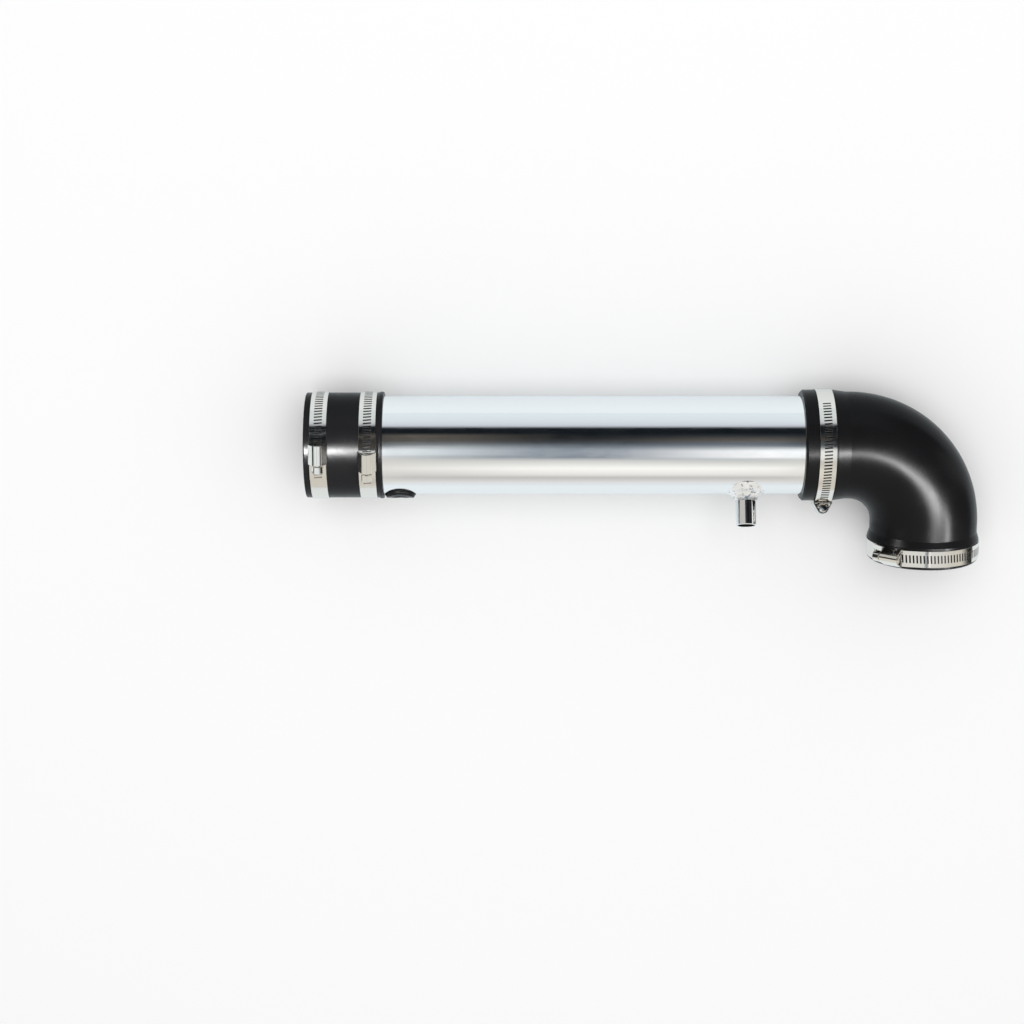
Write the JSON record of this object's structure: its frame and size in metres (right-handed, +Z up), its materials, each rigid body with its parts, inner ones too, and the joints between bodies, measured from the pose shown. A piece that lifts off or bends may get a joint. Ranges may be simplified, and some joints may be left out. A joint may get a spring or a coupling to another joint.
{
  "type": "cold air intake pipe",
  "caption": "Straight polished duct pipe with a breather nipple and a sensor grommet, a rubber coupler and a rubber right-angle elbow, all held by worm-drive clamps.",
  "frame": {"origin": "centre of the coupler's free mouth, on the pipe's centre line", "axes": "+X along the pipe from the coupler's free mouth to the elbow, -Y the way the elbow's leg opens, +Z up as the assembly lies on its side"},
  "size_m": [0.5242, 0.1332, 0.0952],
  "materials": {
    "pipe": "polished, with fine drawn grain",
    "weld": "bright and slightly rough weld",
    "nipple": "polished",
    "grommet": "semi-gloss black",
    "hose": "satin black with a fine grain",
    "clamp_band": "bright stainless band",
    "clamp_housing": "polished stainless sheet",
    "clamp_screw": "zinc plated, bright"
  },
  "bodies": {
    "root": {"pipe": "pipe", "vent_boss": "weld", "vent_nipple": "nipple", "sensor_grommet": "grommet", "coupler": "hose", "elbow": "hose", "inlet_clamp_band": "clamp_band", "inlet_clamp_saddle": "clamp_band", "inlet_clamp_housing": "clamp_housing", "inlet_clamp_screw": "clamp_screw", "joint_clamp_band": "clamp_band", "joint_clamp_saddle": "clamp_band", "joint_clamp_housing": "clamp_housing", "joint_clamp_screw": "clamp_screw", "elbow_clamp_band": "clamp_band", "elbow_clamp_saddle": "clamp_band", "elbow_clamp_housing": "clamp_housing", "elbow_clamp_screw": "clamp_screw", "outlet_clamp_band": "clamp_band", "outlet_clamp_saddle": "clamp_band", "outlet_clamp_housing": "clamp_housing", "outlet_clamp_screw": "clamp_screw"}
  },
  "joints": []
}
